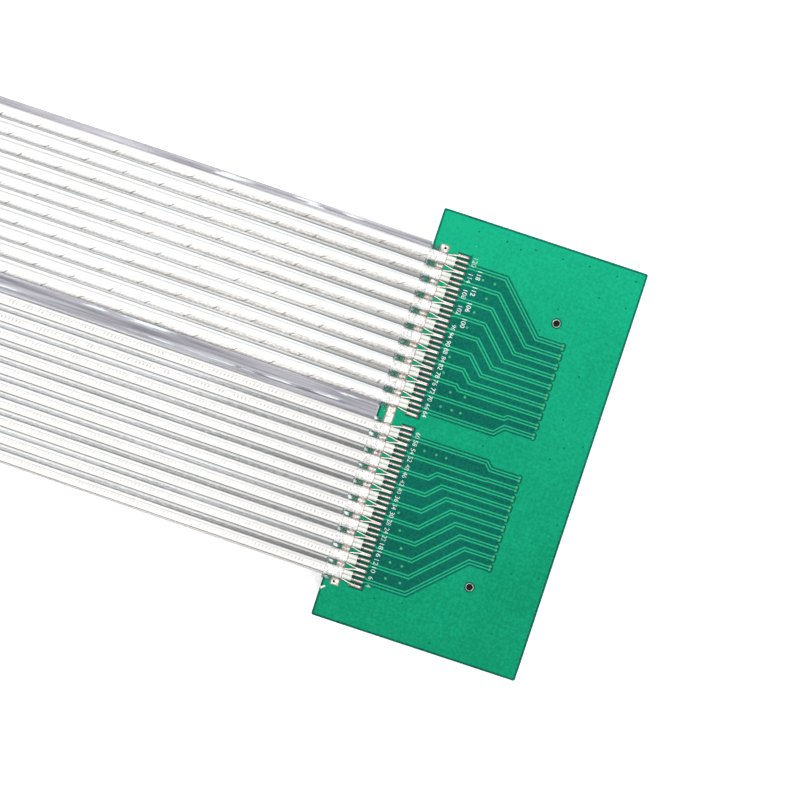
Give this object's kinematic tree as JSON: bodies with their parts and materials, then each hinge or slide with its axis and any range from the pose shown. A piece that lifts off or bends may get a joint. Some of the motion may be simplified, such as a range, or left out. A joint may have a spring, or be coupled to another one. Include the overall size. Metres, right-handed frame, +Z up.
{
  "type": "high-speed cable assembly",
  "caption": "Flat twin-axial ribbon cable assembly with a soldered circuit card and a board-to-board connector at each end.",
  "frame": {"origin": "midway between the two cards, on the surface that both connectors' mating faces rest on", "axes": "+X along the ribbons towards the pictured card, +Y across the ribbons, +Z up, away from the connectors' mating faces"},
  "size_m": [0.2258, 0.0618, 0.0056],
  "materials": {
    "laminate": "green solder mask over glass-epoxy laminate, pale cut edge",
    "masked_copper": "copper under green solder mask",
    "tinned_pad": "tinned copper, uneven solder",
    "housing": "black moulded liquid-crystal polymer",
    "contact": "gold-plated copper alloy",
    "shield": "wrapped aluminium foil, wrinkled",
    "core": "white polymer insulation",
    "wire": "tinned copper wire",
    "ribbon": "clear film over foil-shielded pairs"
  },
  "bodies": {
    "root": {"far_board": "laminate", "far_connector_housing": "housing", "far_contacts_cable_row": "contact", "far_contacts_outer_row": "contact", "far_cores_lower": "core", "far_cores_upper": "core", "far_drain_wires_lower": "wire", "far_drain_wires_upper": "wire", "far_ground_blades": "contact", "far_ground_pads": "tinned_pad", "far_ground_pour": "masked_copper", "far_ground_strip": "tinned_pad", "far_shield_ends_lower": "shield", "far_shield_ends_upper": "shield", "far_signal_pads": "tinned_pad", "far_signal_wires_lower": "wire", "far_signal_wires_upper": "wire", "far_traces_lower": "masked_copper", "far_traces_upper": "masked_copper", "near_board": "laminate", "near_connector_housing": "housing", "near_contacts_cable_row": "contact", "near_contacts_outer_row": "contact", "near_cores_lower": "core", "near_cores_upper": "core", "near_drain_wires_lower": "wire", "near_drain_wires_upper": "wire", "near_ground_blades": "contact", "near_ground_pads": "tinned_pad", "near_ground_pour": "masked_copper", "near_ground_strip": "tinned_pad", "near_shield_ends_lower": "shield", "near_shield_ends_upper": "shield", "near_signal_pads": "tinned_pad", "near_signal_wires_lower": "wire", "near_signal_wires_upper": "wire", "near_traces_lower": "masked_copper", "near_traces_upper": "masked_copper", "ribbon_lower": "ribbon", "ribbon_upper": "ribbon"}
  },
  "joints": []
}
